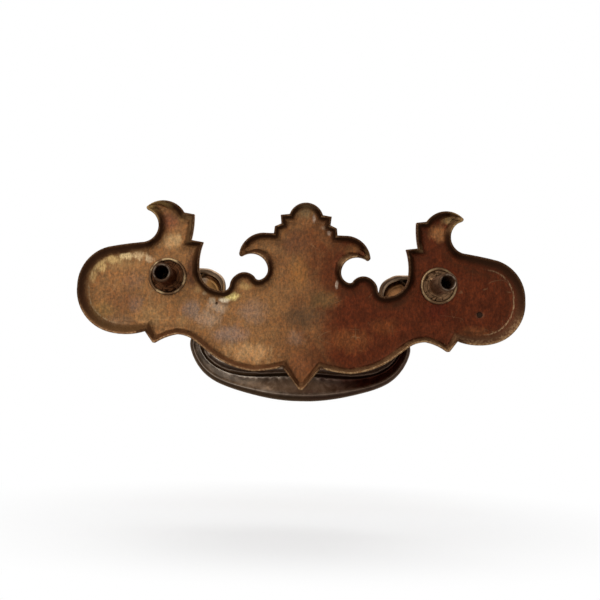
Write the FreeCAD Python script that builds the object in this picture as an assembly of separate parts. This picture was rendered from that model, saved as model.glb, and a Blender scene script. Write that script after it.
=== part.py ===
import FreeCAD, Part
import math
import os

from FreeCAD import Vector

# A bat-wing bail pull for a drawer, in millimetres. X runs along the plate, -Y is the side that
# faces the room and +Z is up. The origin is midway between the two screw posts, on the plane of
# the backplate's rim, which bears on the drawer front.

# Screw posts
POST_SPACING = 76.2            # axis to axis, the 3 inch boring
POST_TUBE_RADIUS = 2.6
POST_TUBE_LENGTH = 9.25        # beyond the rim plane, into the drawer front
POST_TUBE_CHAMFER = 0.35
THREAD_MINOR_RADIUS = 1.78     # the bore of the tapped hole
THREAD_DEPTH = 13.2            # from the tube's end
SHANK_RADIUS = 4.35            # where the post goes through the plate
SHANK_CLEARANCE = 0.05
LIP_RADIUS = 5.25              # the staked lip that holds the post in the plate
LIP_WIDTH = 0.95
LIP_HEIGHT = 0.95
STAKED_RECESS = 0.55           # the staking tool's ring, below the lip's top
FLANGE_RADIUS = 5.7
FLANGE_THICKNESS = 1.2
FLANGE_ROUND = 0.5
NECK_RADIUS = 3.1
NECK_WAIST = 0.25              # how much the neck is drawn in at its middle
NECK_FILLET = 0.5              # how much wider the neck is where it leaves the flange
HEAD_RADIUS = 4.9

# Backplate
PLATE_THICKNESS = 3.0
PLATE_EDGE = 1.5               # square part of the plate's edge, next to the rim
BEVEL_WIDTH = 1.2              # bevelled border of the face
HOLLOW_DEPTH = 1.8
RIM_WIDTH = 0.6
EDGE_BREAK = 0.14              # the worn bevel along both edges of the rim
COVE_HEIGHT = 0.3              # how far the floor's border rises towards the wall
SEAT_MARGIN = 0.2              # flat seat round the staked lip
CROWN_WALL_RUN = 1.0           # how far the hollow's wall slopes inwards
HORN_WALL_RUN = 1.2
LOBE_WALL_RUN = 2.3
BELLY_WALL_RUN = 0.95
CROWN_COVE_RUN = 0.35          # width of the floor's coved border
HORN_COVE_RUN = 0.4
LOBE_COVE_RUN = 1.0
BELLY_COVE_RUN = 0.36
CROWN_HEIGHT = 22.1            # heights are from the post axes
CROWN_RADIUS = 4.95
HOOK_HEIGHT = 13.1
HOOK_REACH = 18.4
HORN_HEIGHT = 21.4
LOBE_REACH = 24.4              # from the post's axis to the end of the wing
LOBE_DROP = 16.5
BELLY_DROP = 25.55
TIP_DROP = 30.4
TIP_SETBACK = 1.3              # a tip's round moves back along the tip by this share more
MITRE_LIMIT = 0.72             # lowest cosine that a corner's offset is divided by

# Bail
PIVOT_FORWARD = 11.0           # the bail's axis, in front of the rim plane
PIN_RADIUS = 1.2
PIN_CLEARANCE = 0.06
PIN_ENGAGEMENT = 5.2           # how deep the pin reaches into the post's head
PIN_END_GAP = 0.5
KNUCKLE_GAP = 0.6              # between the knuckle's end and the post's head
KNUCKLE_RADIUS = 3.75
END_WALL = 1.0
WEB_PLACE = 1.9                # from the knuckle's end to where the web crosses the axis
WEB_TILT = 48.0                # degrees that the web leans over to the loop side
WEB_THICKNESS = 0.6
WEB_RECESS = 0.3
BAIL_DROP = 34.2               # from the bail's axis to the bottom of the grip
GRIP_WIDTH = 10.1
BAIL_BACK_DEPTH = 2.2          # from the widest line to the hollow's rim
BAIL_ROUNDNESS = 0.46          # height of the rounded front, as a share of the local width
OUTER_INSET = 0.16             # how far the rim stands in at the outer side, the same way
BAIL_RIM_WIDTH = 0.5
BAIL_HOLLOW_SHARE = 0.29       # depth of the hollow behind, as a share of the local width
HOLLOW_STEEP_RUN = 0.95        # from the hollow's loop side rim to its deepest line

POST_X = POST_SPACING / 2
HEAD_Y = -PIVOT_FORWARD
KNUCKLE_END = POST_X - HEAD_RADIUS - KNUCKLE_GAP
BAIL_WIDEST_Y = -PIVOT_FORWARD + 0.1 * KNUCKLE_RADIUS
BAIL_RIM_Y = BAIL_WIDEST_Y + BAIL_BACK_DEPTH


# Outline of the backplate

class Wall:
    """How the hollow's wall and the floor's border run in along a stretch of the outline."""

    def __init__(self, wall_run, cove_run):
        self.foot = RIM_WIDTH + wall_run
        self.floor = self.foot + cove_run


CROWN_WALL = Wall(CROWN_WALL_RUN, CROWN_COVE_RUN)
HORN_WALL = Wall(HORN_WALL_RUN, HORN_COVE_RUN)
LOBE_WALL = Wall(LOBE_WALL_RUN, LOBE_COVE_RUN)
BELLY_WALL = Wall(BELLY_WALL_RUN, BELLY_COVE_RUN)


class Segment:
    """One edge of the outline, from the last one's end: straight, an arc, or a tip's round."""

    def __init__(self, wall, end, via=None, is_tip=False):
        self.wall = wall
        self.end = end
        self.via = via
        self.is_tip = is_tip

    def mirrored(self, end):
        """The same edge on the other half, which runs the other way."""
        via = (-self.via[0], self.via[1]) if self.via else None
        return Segment(self.wall, (-end[0], end[1]), via, self.is_tip)


def line(wall, x, z):
    """A straight edge to (x, z)."""
    return Segment(wall, (x, z))


def arc(wall, via_x, via_z, x, z):
    """An arc through (via_x, via_z) to (x, z)."""
    return Segment(wall, (x, z), (via_x, via_z))


def tip(wall, via_x, via_z, x, z):
    """The small round of a tip."""
    return Segment(wall, (x, z), (via_x, via_z), True)


def crown_segments():
    """The round crown with its two teeth, from the top down to the hook."""
    wall = CROWN_WALL
    top = CROWN_HEIGHT
    centre = top - CROWN_RADIUS
    half = CROWN_RADIUS * math.sqrt(0.5)
    side = CROWN_RADIUS * math.cos(math.radians(18))
    foot = centre + CROWN_RADIUS * math.sin(math.radians(18))
    return [
        arc(wall, half, centre + half, side, foot),
        line(wall, CROWN_RADIUS + 2.25, top - 3.75),
        line(wall, CROWN_RADIUS + 2.0, top - 6.2),
        line(wall, CROWN_RADIUS + 3.8, top - 7.05),
        line(wall, CROWN_RADIUS + 4.0, HOOK_HEIGHT),
    ]


def hook_segments():
    """The hook beside the crown and the round bay under it."""
    wall = CROWN_WALL
    top = HOOK_HEIGHT
    reach = HOOK_REACH
    return [
        line(wall, reach - 6.4, top),
        arc(wall, reach - 2.1, top - 1.9, reach, top - 5.9),
        tip(wall, reach - 0.15, top - 6.6, reach - 0.9, top - 6.8),
        arc(wall, reach - 5.0, top - 6.2, reach - 8.05, top - 9.7),
        arc(wall, reach - 7.65, top - 12.0, reach - 6.1, top - 13.2),
    ]


def notch_segments():
    """The bump beside the bay, the notch behind the bail's knuckle and the step above it."""
    wall = HORN_WALL
    x = POST_X
    return [
        arc(wall, x - 25.0, -0.1, x - 24.3, 0.6),
        arc(wall, x - 21.6, 1.85, x - 18.8, 0.75),
        arc(wall, x - 17.7, -0.7, x - 17.4, -1.9),
        arc(wall, x - 16.7, -3.2, x - 15.1, -3.65),
        arc(wall, x - 11.0, -2.1, x - 8.8, 2.6),
        arc(wall, x - 8.85, 6.0, x - 9.7, 9.8),
        line(wall, x - 6.3, 10.3),
    ]


def horn_segments():
    """The horn above the post, from its inner step round the tip to the wing."""
    wall = HORN_WALL
    x = POST_X
    top = HORN_HEIGHT
    return [
        arc(wall, x - 6.85, top - 7.5, x - 6.9, top - 3.85),
        line(wall, x - 4.1, top - 3.45),
        arc(wall, x + 0.3, top - 0.35, x + 6.35, top - 2.1),
        tip(wall, x + 6.45, top - 2.7, x + 5.9, top - 3.1),
        arc(wall, x + 3.4, top - 5.5, x + 3.0, top - 8.1),
        arc(wall, x + 4.3, 10.6, x + 7.4, 9.2),
    ]


def lobe_segments():
    """The round end of the wing and the small point under it."""
    wall = LOBE_WALL
    x = POST_X
    end = x + LOBE_REACH
    low = -LOBE_DROP
    return [
        arc(wall, x + 11.9, 8.5, x + 16.4, 7.6),
        arc(wall, end - 2.5, 3.9, end, -3.5),
        arc(wall, end - 2.4, low + 4.9, end - 9.5, low + 0.4),
        arc(wall, x + 10.4, low, x + 5.4, low + 1.0),
        line(CROWN_WALL, x + 3.4, low - 1.7),
        tip(CROWN_WALL, x + 2.9, low - 2.1, x + 2.2, low - 1.9),
        arc(CROWN_WALL, x - 0.5, low - 0.45, x - 3.5, low + 0.4),
        arc(BELLY_WALL, x - 6.3, low - 0.1, x - 8.8, low - 1.5),
    ]


def belly_segments():
    """The lower edge from the wing to the bottom tip, which is on the middle line."""
    wall = BELLY_WALL
    x = POST_X
    low = -BELLY_DROP
    return [
        line(wall, x - 11.9, low + 5.15),
        arc(wall, x - 18.2, low + 1.5, x - 24.7, low),
        arc(wall, x - 28.9, low + 0.45, 5.3, low + 1.3),
        line(wall, 0.75, 0.4 - TIP_DROP),
        tip(wall, 0.0, -TIP_DROP, -0.75, 0.4 - TIP_DROP),
    ]


def plate_outline():
    """The whole outline, clockwise as seen from -Y: its start point and its segments."""
    start = (0.0, CROWN_HEIGHT)
    right = crown_segments() + hook_segments() + notch_segments()
    right += horn_segments() + lobe_segments() + belly_segments()
    starts = [start] + [segment.end for segment in right[:-1]]
    left = [segment.mirrored(begin) for segment, begin in zip(right[:-1], starts[:-1])]
    return start, right + left[::-1]


def point_at(place, y):
    """The point of the outline in the plane at y."""
    return Vector(place[0], y, place[1])


def segment_edge(begin, segment):
    """The segment's edge in the rim plane."""
    first = point_at(begin, 0.0)
    last = point_at(segment.end, 0.0)
    if segment.via is None:
        return Part.LineSegment(first, last).toShape()
    return Part.Arc(first, point_at(segment.via, 0.0), last).toShape()


def inward_normals(begin, segment):
    """The directions into the plate at the segment's start, middle and end."""
    edge = segment_edge(begin, segment)
    first, last = edge.ParameterRange
    middle = 0.5 * (first + last)
    if segment.via:
        middle = edge.Curve.parameter(point_at(segment.via, 0.0))
    tangents = [edge.tangentAt(place) for place in (first, middle, last)]
    if not edge.valueAt(first).isEqual(point_at(begin, 0.0), 1e-6):
        tangents = [-tangent for tangent in reversed(tangents)]
    return [Vector(tangent.z, 0, -tangent.x).normalize() for tangent in tangents]


def offset_wire(y, distance_of):
    """The outline in the plane at y, moved inwards edge for edge by distance_of(wall)."""
    start, segments = plate_outline()
    begins = [start] + [segment.end for segment in segments[:-1]]
    normals = [inward_normals(begin, segment) for begin, segment in zip(begins, segments)]
    count = len(segments)

    def moved_corner(index):
        """The start point of a segment, moved along the mean of the normals that meet there."""
        point = point_at(begins[index], y)
        for other in (index, index - 1):
            if segments[other].is_tip:
                setback = TIP_SETBACK * distance_of(segments[other].wall)
                return point + normals[other][1] * setback
        mean = (normals[index][0] + normals[index - 1][2]).normalize()
        mitre = max(mean.dot(normals[index][0]), MITRE_LIMIT)
        both = distance_of(segments[index].wall) + distance_of(segments[index - 1].wall)
        return point + mean * (0.5 * both / mitre)

    corners = [moved_corner(index) for index in range(count)]
    edges = []
    for index, segment in enumerate(segments):
        first = corners[index]
        last = corners[(index + 1) % count]
        if segment.via is None:
            edges.append(Part.LineSegment(first, last).toShape())
            continue
        distance = distance_of(segment.wall) * (TIP_SETBACK if segment.is_tip else 1.0)
        via = point_at(segment.via, y) + normals[index][1] * distance
        edges.append(Part.Arc(first, via, last).toShape())
    return Part.Wire(edges)


def post_hole(side, radius, y_from, y_to):
    """A cylinder on a post's axis, between two heights."""
    start = Vector(side * POST_X, y_from, 0)
    return Part.makeCylinder(radius, y_from - y_to, start, Vector(0, -1, 0))


def backplate():
    """A thin cast plate with a bevelled face, hollowed from behind."""
    body = Part.makeLoft([
        offset_wire(0.0, lambda wall: EDGE_BREAK),
        offset_wire(-EDGE_BREAK, lambda wall: 0.0),
        offset_wire(-PLATE_EDGE, lambda wall: 0.0),
        offset_wire(-PLATE_THICKNESS, lambda wall: BEVEL_WIDTH),
    ], True, True)
    hollow = Part.makeLoft([
        offset_wire(0.0, lambda wall: RIM_WIDTH - EDGE_BREAK),
        offset_wire(-EDGE_BREAK, lambda wall: RIM_WIDTH),
        offset_wire(COVE_HEIGHT - HOLLOW_DEPTH, lambda wall: wall.foot),
        offset_wire(-HOLLOW_DEPTH, lambda wall: wall.floor),
    ], True, True)
    body = body.cut(hollow)
    for side in (-1, 1):
        seat = post_hole(side, LIP_RADIUS + SEAT_MARGIN, 0.0, -HOLLOW_DEPTH)
        shank = post_hole(side, SHANK_RADIUS + SHANK_CLEARANCE, 0.0, -2 * PLATE_THICKNESS)
        body = body.cut(seat).cut(shank)
    return body


# Posts

def turned(start, steps):
    """A solid turned about the Y axis from its half section.

    A step is (radius, y) for a straight edge, or (radius, y, via_radius, via_y) for an arc.
    """
    here = Vector(start[0], start[1], 0)
    first = here
    edges = []
    for step in steps:
        there = Vector(step[0], step[1], 0)
        if len(step) == 4:
            edges.append(Part.Arc(here, Vector(step[2], step[3], 0), there).toShape())
        else:
            edges.append(Part.LineSegment(here, there).toShape())
        here = there
    edges.append(Part.LineSegment(here, first).toShape())
    return Part.Face(Part.Wire(edges)).revolve(Vector(), Vector(0, 1, 0), 360)


def post_body():
    """The turned post on the Y axis: tube, staked lip, shank, flange, neck and round head."""
    end = POST_TUBE_LENGTH
    chamfer = POST_TUBE_CHAMFER
    floor = -HOLLOW_DEPTH
    face = -PLATE_THICKNESS
    lip_round = LIP_WIDTH / 2
    lip_top = floor + LIP_HEIGHT
    lip_inside = LIP_RADIUS - LIP_WIDTH
    ring = lip_top - STAKED_RECESS
    flange = face - FLANGE_THICKNESS
    slack = (1 - math.sqrt(0.5)) * FLANGE_ROUND
    neck_end = HEAD_Y + math.sqrt(HEAD_RADIUS ** 2 - NECK_RADIUS ** 2)
    return turned((0, end), [
        (POST_TUBE_RADIUS - chamfer, end),
        (POST_TUBE_RADIUS, end - chamfer),
        (POST_TUBE_RADIUS, ring),
        (lip_inside, ring),
        (lip_inside, lip_top - lip_round),
        (LIP_RADIUS, lip_top - lip_round, lip_inside + lip_round, lip_top),
        (LIP_RADIUS, floor),
        (SHANK_RADIUS, floor),
        (SHANK_RADIUS, face),
        (FLANGE_RADIUS, face),
        (FLANGE_RADIUS, flange + FLANGE_ROUND),
        (FLANGE_RADIUS - FLANGE_ROUND, flange, FLANGE_RADIUS - slack, flange + slack),
        (NECK_RADIUS + NECK_FILLET, flange),
        (NECK_RADIUS, neck_end, NECK_RADIUS - NECK_WAIST, 0.5 * (neck_end + flange)),
        (0, HEAD_Y - HEAD_RADIUS, HEAD_RADIUS, HEAD_Y),
    ])


def post(side):
    """A post on its own axis, with its tapped bore and the blind socket for the bail's pin."""
    body = post_body()
    body.translate(Vector(side * POST_X, 0, 0))
    end = POST_TUBE_LENGTH
    bore = post_hole(side, THREAD_MINOR_RADIUS, end, end - THREAD_DEPTH)
    mouth = Part.makeCone(THREAD_MINOR_RADIUS + POST_TUBE_CHAMFER, THREAD_MINOR_RADIUS,
                          POST_TUBE_CHAMFER, Vector(side * POST_X, end, 0), Vector(0, -1, 0))
    depth = KNUCKLE_GAP + PIN_ENGAGEMENT + PIN_END_GAP
    socket = Part.makeCylinder(PIN_RADIUS + PIN_CLEARANCE, depth,
                               Vector(side * KNUCKLE_END, HEAD_Y, 0), Vector(side, 0, 0))
    return body.cut(bore).cut(mouth).cut(socket)


# Bail

class Station:
    """A section plane across the bail, from its loop side to its outer side.

    The front is round from side to side. Behind, both flanks draw in to the hollow's rim, on
    the loop side by the share loop_inset of the width.
    """

    def __init__(self, loop_side, outer_side, loop_inset):
        self.loop_side = loop_side
        self.outer_side = outer_side
        self.loop_inset = loop_inset
        self.width = math.dist(loop_side, outer_side)

    def mirrored(self):
        """The same station on the other arm."""
        loop_side, outer_side = self.loop_side, self.outer_side
        return Station((-loop_side[0], loop_side[1]), (-outer_side[0], outer_side[1]),
                       self.loop_inset)

    def at(self, across, y):
        """The point at a distance across from the loop side, in the plane at y."""
        share = across / self.width
        x, z = [a + share * (b - a) for a, b in zip(self.loop_side, self.outer_side)]
        return Vector(x, y, z)


def knuckle_stations():
    """From the knuckle's end round the shoulder, placed from the knuckle's end and axis."""
    end = KNUCKLE_END
    r = KNUCKLE_RADIUS
    return [
        Station((end, r), (end, -r), 0.15),
        Station((end - END_WALL, r), (end - END_WALL, -r), 0.15),
        Station((end - 3.4, r - 0.05), (end - 1.9, -r - 0.2), 0.15),
        Station((end - 6.4, r - 0.6), (end - 2.6, -r - 1.0), 0.15),
        Station((end - 8.8, r - 2.1), (end - 3.1, -r - 2.1), 0.13),
        Station((end - 10.1, -0.9), (end - 3.4, -7.0), 0.12),
    ]


def arm_stations():
    """Down the arm, which swings in and then out again to the corner of the grip."""
    end = KNUCKLE_END
    low = -BAIL_DROP
    return [
        Station((end - 10.1, -4.4), (end - 3.4, -8.6), 0.11),
        Station((end - 9.1, -8.2), (end - 3.0, -10.8), 0.13),
        Station((end - 7.5, -12.2), (end - 2.1, low + 21.0), 0.15),
        Station((end - 6.2, low + 18.8), (end - 0.9, low + 18.2), 0.17),
        Station((end - 5.8, low + 15.9), (end - 0.45, low + 15.2), 0.2),
    ]


def grip_stations():
    """From the corner along the grip to the middle line, placed from the bail's bottom."""
    end = KNUCKLE_END
    low = -BAIL_DROP
    top = low + GRIP_WIDTH
    return [
        Station((end - 7.2, low + 13.2), (end - 1.7, low + 11.6), 0.23),
        Station((end - 10.0, low + 11.3), (end - 4.2, low + 8.0), 0.25),
        Station((end - 14.0, low + 10.2), (end - 8.7, low + 4.8), 0.26),
        Station((end - 19.0, top - 0.35), (end - 15.4, low + 2.5), 0.22),
        Station((end - 25.6, top - 0.15), (end - 23.8, low + 0.65), 0.15),
        Station((0.0, top), (0.0, low), 0.12),
    ]


def bail_stations():
    """The stations from the right knuckle's end round to the left one's."""
    right = knuckle_stations() + arm_stations() + grip_stations()
    left = [station.mirrored() for station in right[:-1]]
    return right + left[::-1]


def hull_wire(station):
    """The outer section: rounded in front, drawn in towards the rim behind."""
    width = station.width
    loop_rim = station.loop_inset * width
    outer_rim = width - OUTER_INSET * width
    crown_y = BAIL_WIDEST_Y - BAIL_ROUNDNESS * width
    mid_y = BAIL_WIDEST_Y + 0.55 * BAIL_BACK_DEPTH
    loop = station.at(0, BAIL_WIDEST_Y)
    outer = station.at(width, BAIL_WIDEST_Y)
    loop_edge = station.at(loop_rim, BAIL_RIM_Y)
    outer_edge = station.at(outer_rim, BAIL_RIM_Y)
    loop_flank = station.at(0.35 * loop_rim, mid_y)
    outer_flank = station.at(width - 0.35 * (width - outer_rim), mid_y)
    curves = [
        Part.Arc(loop, station.at(width / 2, crown_y), outer),
        Part.Arc(outer, outer_flank, outer_edge),
        Part.LineSegment(outer_edge, loop_edge),
        Part.Arc(loop_edge, loop_flank, loop),
    ]
    return Part.Wire([curve.toShape() for curve in curves])


def hollow_wire(station):
    """The hollow's section: steep on the loop side, with a long slope to the outer rim."""
    width = station.width
    near = station.loop_inset * width + BAIL_RIM_WIDTH
    far = width - OUTER_INSET * width - BAIL_RIM_WIDTH
    deep_at = near + HOLLOW_STEEP_RUN
    deep_y = BAIL_RIM_Y - BAIL_HOLLOW_SHARE * width
    above = BAIL_RIM_Y + BAIL_RIM_WIDTH
    steep_mid = station.at(near + 0.25 * HOLLOW_STEEP_RUN, 0.5 * (BAIL_RIM_Y + deep_y))
    slope_mid = station.at(0.5 * (deep_at + far), 0.4 * BAIL_RIM_Y + 0.6 * deep_y)
    deepest = station.at(deep_at, deep_y)
    near_edge = station.at(near, BAIL_RIM_Y)
    far_edge = station.at(far, BAIL_RIM_Y)
    curves = [
        Part.LineSegment(station.at(near, above), station.at(far, above)),
        Part.LineSegment(station.at(far, above), far_edge),
        Part.Arc(far_edge, slope_mid, deepest),
        Part.Arc(deepest, steep_mid, near_edge),
        Part.LineSegment(near_edge, station.at(near, above)),
    ]
    return Part.Wire([curve.toShape() for curve in curves])


def knuckle_web(side):
    """The thin web that runs aslant across the hollow near its end, just below the rim."""
    depth = BAIL_BACK_DEPTH + KNUCKLE_RADIUS
    length = 4 * KNUCKLE_RADIUS
    corner = Vector(-WEB_THICKNESS / 2, BAIL_RIM_Y - WEB_RECESS - depth, -length / 2)
    web = Part.makeBox(WEB_THICKNESS, depth, length, corner)
    web.rotate(Vector(), Vector(0, 1, 0), -side * WEB_TILT)
    web.translate(Vector(side * (KNUCKLE_END - WEB_PLACE), 0, 0))
    return web


def knuckle_pin(side):
    """The pin on the knuckle's end, rooted in the end wall."""
    root = END_WALL / 2
    return Part.makeCylinder(PIN_RADIUS, root + KNUCKLE_GAP + PIN_ENGAGEMENT,
                             Vector(side * (KNUCKLE_END - root), HEAD_Y, 0), Vector(side, 0, 0))


def bail():
    """A cast swan-neck bail, hollow behind, with a pin on the outer end of each knuckle."""
    stations = bail_stations()
    hull = Part.makeLoft([hull_wire(station) for station in stations], True, False)
    hollow = Part.makeLoft([hollow_wire(station) for station in stations[1:-1]], True, False)
    for side in (-1, 1):
        hollow = hollow.cut(knuckle_web(side))
    body = hull.cut(hollow)
    for side in (-1, 1):
        body = body.fuse(knuckle_pin(side))
    return body


def main():
    """Builds each piece and writes it to parts/ under its node's name."""
    os.makedirs("parts", exist_ok=True)
    pieces = {
        "backplate": backplate(),
        "post_left": post(-1),
        "post_right": post(1),
        "bail": bail(),
    }
    for name, shape in pieces.items():
        print(name, "valid", shape.isValid(), "solids", len(shape.Solids),
              "volume", round(shape.Volume, 2), shape.BoundBox)
        shape.exportStep(os.path.join("parts", name + ".step"))


main()
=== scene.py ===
"""Looks of a bat-wing bail pull: hollow-backed brass plate, two tapped posts, swan-neck bail.

The pull is seen from behind. The model's frame is in metres: X runs along the plate, -Y is the
side that faces the room and +Z is up. Patterns are written in millimetres.
"""

import logging
import math
from collections.abc import Callable
from dataclasses import dataclass
from enum import Enum
from functools import cached_property, reduce

import bmesh
import bpy
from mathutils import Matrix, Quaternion, Vector, noise
from mathutils.kdtree import KDTree


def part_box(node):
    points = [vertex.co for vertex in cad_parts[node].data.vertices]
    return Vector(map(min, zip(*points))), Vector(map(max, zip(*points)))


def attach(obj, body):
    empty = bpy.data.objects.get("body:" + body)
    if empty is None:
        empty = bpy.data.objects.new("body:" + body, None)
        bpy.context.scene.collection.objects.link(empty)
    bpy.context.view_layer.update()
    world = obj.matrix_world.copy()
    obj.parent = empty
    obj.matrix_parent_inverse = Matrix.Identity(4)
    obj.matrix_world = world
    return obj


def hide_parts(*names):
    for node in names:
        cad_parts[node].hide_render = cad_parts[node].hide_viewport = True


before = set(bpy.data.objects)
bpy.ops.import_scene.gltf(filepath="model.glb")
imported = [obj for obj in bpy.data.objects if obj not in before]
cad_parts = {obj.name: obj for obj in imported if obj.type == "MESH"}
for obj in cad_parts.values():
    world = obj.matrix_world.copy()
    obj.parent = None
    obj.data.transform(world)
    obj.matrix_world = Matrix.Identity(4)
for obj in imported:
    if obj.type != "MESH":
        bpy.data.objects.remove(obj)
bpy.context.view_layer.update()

LOG = logging.getLogger("bail_pull")
MM = 0.001
Triple = tuple[float, float, float]
Span = tuple[float, float]
Colour = Triple
Socket = bpy.types.NodeSocket


def rgba(colour: Colour) -> tuple[float, float, float, float]:
    """Returns the colour with full opacity."""
    return (*colour, 1.0)


def add_object(name: str, data: bpy.types.ID) -> bpy.types.Object:
    """Makes an object and links it to the scene.

    Args:
        name: The object's name.
        data: Its mesh, camera or light.

    Returns:
        The object.
    """
    made = bpy.data.objects.new(name, data)
    bpy.context.scene.collection.objects.link(made)
    return made


def aim_object(thing: bpy.types.Object, place: Triple, target: Triple, roll: float = 0.0) -> None:
    """Puts an object at a place and turns it to a target.

    Args:
        thing: A camera or a lamp.
        place: Where it stands.
        target: What it looks at.
        roll: Its turn about its own line of sight, in degrees.
    """
    thing.location = place
    toward = (Vector(target) - Vector(place)).to_track_quat("-Z", "Y")
    thing.rotation_mode = "QUATERNION"
    thing.rotation_quaternion = toward @ Quaternion((0, 0, 1), math.radians(roll))


def empty_material(name: str) -> bpy.types.Material:
    """Makes a material with an empty node tree.

    Args:
        name: The material's name.

    Returns:
        The material.
    """
    material = bpy.data.materials.new(name)
    material.use_nodes = True
    material.node_tree.nodes.clear()
    return material


class Graph:
    """A node tree with short calls for the nodes that the finishes use."""

    def __init__(self, tree: bpy.types.NodeTree) -> None:
        """Takes the tree to build in."""
        self.tree = tree

    def add(self, kind: str, *terms: object, **settings: object) -> bpy.types.Node:
        """Adds a node.

        Args:
            kind: The node's type name.
            terms: Numbers, tuples or sockets for its inputs, in order.
            settings: Attributes to set on it.

        Returns:
            The new node.
        """
        node = self.tree.nodes.new(kind)
        for name, value in settings.items():
            setattr(node, name, value)
        for socket, term in zip(node.inputs, terms):
            self.feed(socket, term)
        return node

    def feed(self, socket: Socket, value: object) -> None:
        """Links an input to a socket, or sets it to a plain value.

        Args:
            socket: The input.
            value: A socket, a number, a vector or a colour.
        """
        if isinstance(value, Socket):
            self.tree.links.new(value, socket)
        elif isinstance(value, tuple) and len(value) == 3 and socket.type == "RGBA":
            socket.default_value = rgba(value)
        else:
            socket.default_value = value

    def math(self, operation: str, *terms: object) -> Socket:
        """Returns the result of a math operation on numbers or sockets."""
        return self.add("ShaderNodeMath", *terms, operation=operation).outputs[0]

    def times(self, *terms: object) -> Socket:
        """Returns the product of two or more terms."""
        return reduce(lambda product, term: self.math("MULTIPLY", product, term), terms)

    def ramp(self, value: object, slope: object, start: object) -> Socket:
        """Returns slope times value, plus start."""
        return self.math("MULTIPLY_ADD", value, slope, start)

    def stirred(self, value: object, pattern: Socket, reach: object) -> Socket:
        """Returns a value that a pattern of 0 to 1 moves either way, by reach in all."""
        return self.ramp(self.math("SUBTRACT", pattern, 0.5), reach, value)

    def away(self, value: object, middle: float = 0.0) -> Socket:
        """Returns how far a value is from a middle."""
        return self.math("ABSOLUTE", self.math("SUBTRACT", value, middle))

    def vector(self, operation: str, *terms: object) -> Socket:
        """Returns a vector operation's vector, or its number for a length or a dot product."""
        node = self.add("ShaderNodeVectorMath", *terms, operation=operation)
        return node.outputs["Value" if operation in ("LENGTH", "DOT_PRODUCT") else "Vector"]

    def scaled(self, vector: object, x: float, y: float, z: float) -> Socket:
        """Returns the vector with each part multiplied by its own factor."""
        return self.vector("MULTIPLY", vector, (x, y, z))

    def parts(self, vector: object) -> list[Socket]:
        """Returns the X, Y and Z parts of a vector."""
        return list(self.add("ShaderNodeSeparateXYZ", vector).outputs)

    def grey(self, value: object) -> Socket:
        """Returns a grey colour from one value."""
        return self.add("ShaderNodeCombineColor", value, value, value).outputs[0]

    def step(self, value: object, low: float, high: float) -> Socket:
        """Makes a smooth step.

        Args:
            value: What it follows.
            low: Where the result is 0.
            high: Where it is 1, above low or below it.

        Returns:
            The result's socket.
        """
        falls = low > high
        node = self.add("ShaderNodeMapRange", value, min(low, high), max(low, high),
                        float(falls), float(not falls),
                        interpolation_type="SMOOTHSTEP", clamp=True)
        return node.outputs["Result"]

    def noise(self, vector: object, scale: float, detail: float = 3.0, roughness: float = 0.55,
              distortion: float = 0.0) -> Socket:
        """Makes a noise about 0.5.

        Args:
            vector: Where it is read.
            scale: Its cells a millimetre.
            detail: How many finer layers it has.
            roughness: How strong they are.
            distortion: How much it is bent.

        Returns:
            The noise's socket.
        """
        node = self.add("ShaderNodeTexNoise", vector, normalize=True)
        node.inputs["Scale"].default_value = scale
        node.inputs["Detail"].default_value = detail
        node.inputs["Roughness"].default_value = roughness
        node.inputs["Distortion"].default_value = distortion
        return node.outputs[0]

    def mix(self, factor: object, first: object, second: object, blend: str = "MIX") -> Socket:
        """Mixes two colours.

        Args:
            factor: How much of the second colour shows.
            first: A colour or a socket.
            second: A colour or a socket.
            blend: The blend mode.

        Returns:
            The mixed colour's socket.
        """
        node = self.add("ShaderNodeMix", factor, data_type="RGBA", blend_type=blend)
        self.feed(node.inputs[6], first)
        self.feed(node.inputs[7], second)
        return node.outputs[2]


class EffectGroup:
    """A shader node group with named inputs and outputs, built once and placed by any material."""

    def __init__(self, name: str, outputs: tuple[str, ...], **inputs: object) -> None:
        """Makes the group's sockets, with the place that it colours as the first input.

        Args:
            name: The group's name.
            outputs: The name of each output, a number from 0 to 1.
            inputs: The default of each further input: a number, or a tuple for a vector.
        """
        self.tree = bpy.data.node_groups.new(name, "ShaderNodeTree")
        for title, default in {"Position": (0.0, 0.0, 0.0), **inputs}.items():
            kind = "NodeSocketVector" if isinstance(default, tuple) else "NodeSocketFloat"
            socket = self.tree.interface.new_socket(title, in_out="INPUT", socket_type=kind)
            socket.default_value = default
        for title in outputs:
            self.tree.interface.new_socket(title, in_out="OUTPUT", socket_type="NodeSocketFloat")
        self.graph = Graph(self.tree)
        self.inputs = self.graph.add("NodeGroupInput").outputs
        self.result = self.graph.add("NodeGroupOutput").inputs

    def place(self, graph: Graph, **values: object) -> bpy.types.NodeOutputs:
        """Places the group in a material's graph and feeds its inputs.

        Args:
            graph: The material's graph.
            values: A number, tuple or socket for each input.

        Returns:
            The outputs of the group's node.
        """
        node = graph.add("ShaderNodeGroup", node_tree=self.tree)
        for title, value in values.items():
            graph.feed(node.inputs[title], value)
        return node.outputs


@dataclass(frozen=True)
class Pattern:
    """One output of an effect group: a noise, drawn out along the axes and made a soft mask."""

    title: str
    stretch: Triple
    scale: float
    detail: float
    roughness: float
    distortion: float
    low: float
    high: float


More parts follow.
